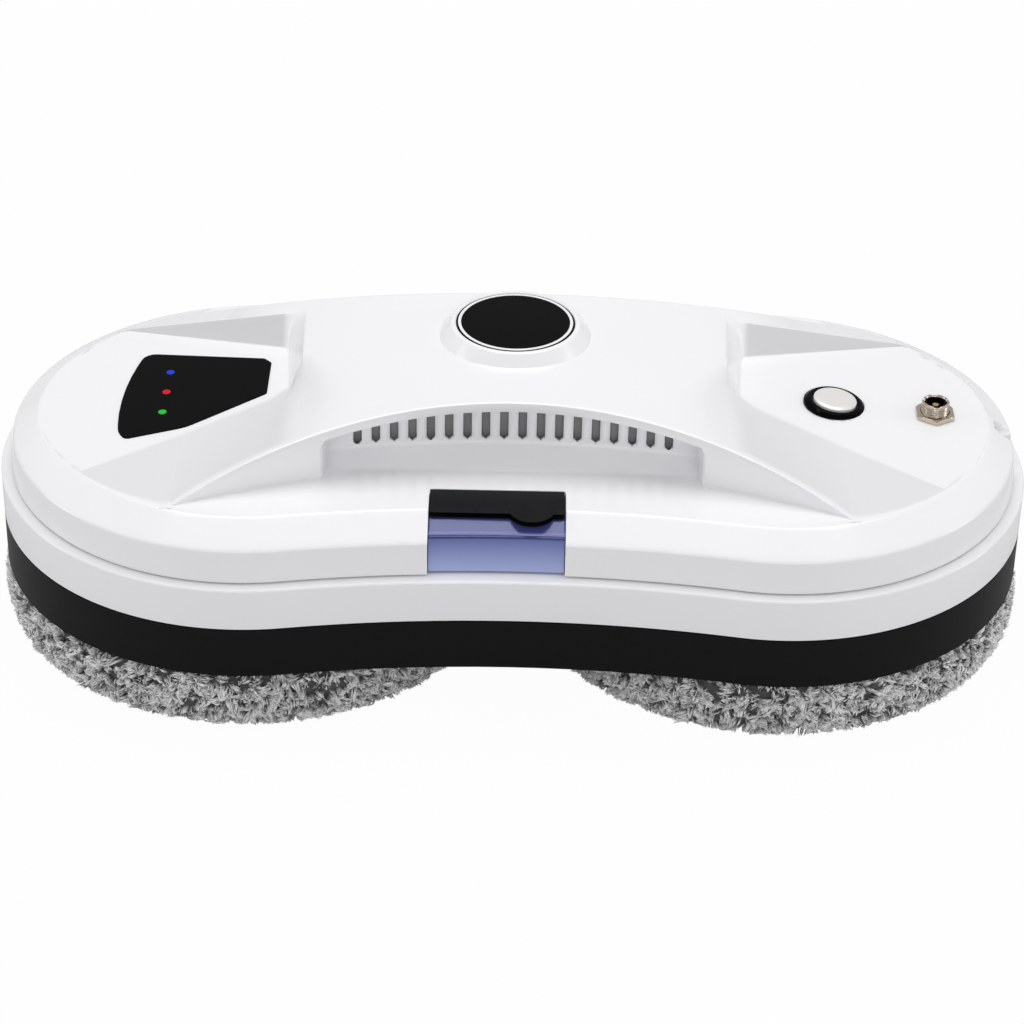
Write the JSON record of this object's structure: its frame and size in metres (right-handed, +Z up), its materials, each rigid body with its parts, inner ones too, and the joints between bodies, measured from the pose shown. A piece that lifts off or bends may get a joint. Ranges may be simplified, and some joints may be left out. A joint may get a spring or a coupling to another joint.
{
  "type": "window cleaning robot",
  "caption": "Peanut-shaped window cleaning robot that walks on turning microfibre wheels held to the glass by suction, with a water tank, a spray nozzle, power button and inlet.",
  "frame": {"origin": "on the floor under the middle of the body", "axes": "+X through both wheels towards the power inlet, +Y away from the water tank, +Z up"},
  "size_m": [0.2996, 0.1496, 0.0862],
  "materials": {
    "white_shell": "satin white moulded plastic",
    "black_shell": "matte black moulded plastic",
    "black_gloss": "gloss black plastic",
    "black_lid": "satin black plastic",
    "led_blue": "blue light cap",
    "led_red": "red light cap",
    "led_green": "green light cap",
    "board": "green circuit board",
    "cap_metal": "satin silver",
    "nickel": "warm nickel plate",
    "insulator": "black insulator",
    "contact": "brass contact",
    "tank_blue": "clear blue-violet plastic",
    "seal_rubber": "soft seal",
    "steel": "plated steel",
    "nozzle_grey": "grey plastic",
    "hose": "silicone hose",
    "inner_black": "black inner moulding",
    "inner_white": "natural white moulding",
    "battery": "shrink-wrapped cells",
    "gear_pom": "acetal gear",
    "bush_pom": "acetal bush",
    "hook": "hook tape",
    "microfibre": "grey microfibre pile"
  },
  "bodies": {
    "housing": {"top_cover": "white_shell", "middle_ring": "white_shell", "base_shell": "black_shell", "badge_boss": "white_shell", "badge_disc": "black_gloss", "badge_ring": "white_shell", "indicator_lens": "black_gloss", "led_blue": "led_blue", "led_red": "led_red", "led_green": "led_green", "led_board": "board", "button_housing": "black_gloss", "button_switch": "inner_black", "dc_jack": "nickel", "jack_nut": "nickel", "jack_insulator": "insulator", "jack_pin": "contact", "water_tank": "tank_blue", "lid_hinge_pin": "steel", "nozzle": "nozzle_grey", "water_pump": "inner_black", "tank_tube": "hose", "hose": "hose", "air_duct": "inner_black", "fan_gasket": "seal_rubber", "fan_housing": "inner_black", "fan_motor": "steel", "battery_pack": "battery", "main_board": "board", "case_screws": "steel", "retainer_screws": "steel", "wheel_retainer_left": "inner_black", "gearbox_left": "inner_black", "drive_motor_left": "steel", "wheel_retainer_right": "inner_black", "gearbox_right": "inner_black", "drive_motor_right": "steel"},
    "left_wheel": {"wheel_left": "inner_black", "wheel_gear_left": "gear_pom", "wheel_bush_left": "bush_pom", "hook_ring_left": "hook", "pad_left": "microfibre"},
    "right_wheel": {"wheel_right": "inner_black", "wheel_gear_right": "gear_pom", "wheel_bush_right": "bush_pom", "hook_ring_right": "hook", "pad_right": "microfibre"},
    "left_pinion": {"pinion_left": "gear_pom"},
    "right_pinion": {"pinion_right": "gear_pom"},
    "fan_rotor": {"fan_impeller": "inner_white"},
    "button": {"power_button": "cap_metal"},
    "lid": {"tank_lid": "black_lid", "lid_gasket": "seal_rubber"}
  },
  "joints": [
    {"name": "left_wheel_turn", "type": "hinge", "parent": "housing", "child": "left_wheel", "pos_m": [-0.075, 0, 0.01], "axis": [0, 0, 1], "continuous": true},
    {"name": "right_wheel_turn", "type": "hinge", "parent": "housing", "child": "right_wheel", "pos_m": [0.075, 0, 0.01], "axis": [0, 0, 1], "continuous": true},
    {"name": "left_pinion_spin", "type": "hinge", "parent": "housing", "child": "left_pinion", "pos_m": [-0.03469, 0.04031, 0.022], "axis": [0, 0, 1], "continuous": true},
    {"name": "right_pinion_spin", "type": "hinge", "parent": "housing", "child": "right_pinion", "pos_m": [0.03469, 0.04031, 0.022], "axis": [0, 0, 1], "continuous": true},
    {"name": "fan_spin", "type": "hinge", "parent": "housing", "child": "fan_rotor", "pos_m": [0, 0, 0.05], "axis": [0, 0, 1], "continuous": true},
    {"name": "button_press", "type": "slide", "parent": "housing", "child": "button", "axis": [-0.0499, 0, -0.9988], "range_m": [0, 0.0012], "stiffness_N_per_m": 800, "springref_m": -0.0004},
    {"name": "tank_lid_open", "type": "hinge", "parent": "housing", "child": "lid", "pos_m": [0, -0.0439, 0.0611], "axis": [-1, 0, 0], "range_deg": [0, 95]}
  ],
  "couplings": [
    {"joint": "left_pinion_spin", "follows": "left_wheel_turn", "ratio": -5.3333},
    {"joint": "right_pinion_spin", "follows": "right_wheel_turn", "ratio": -5.3333}
  ]
}
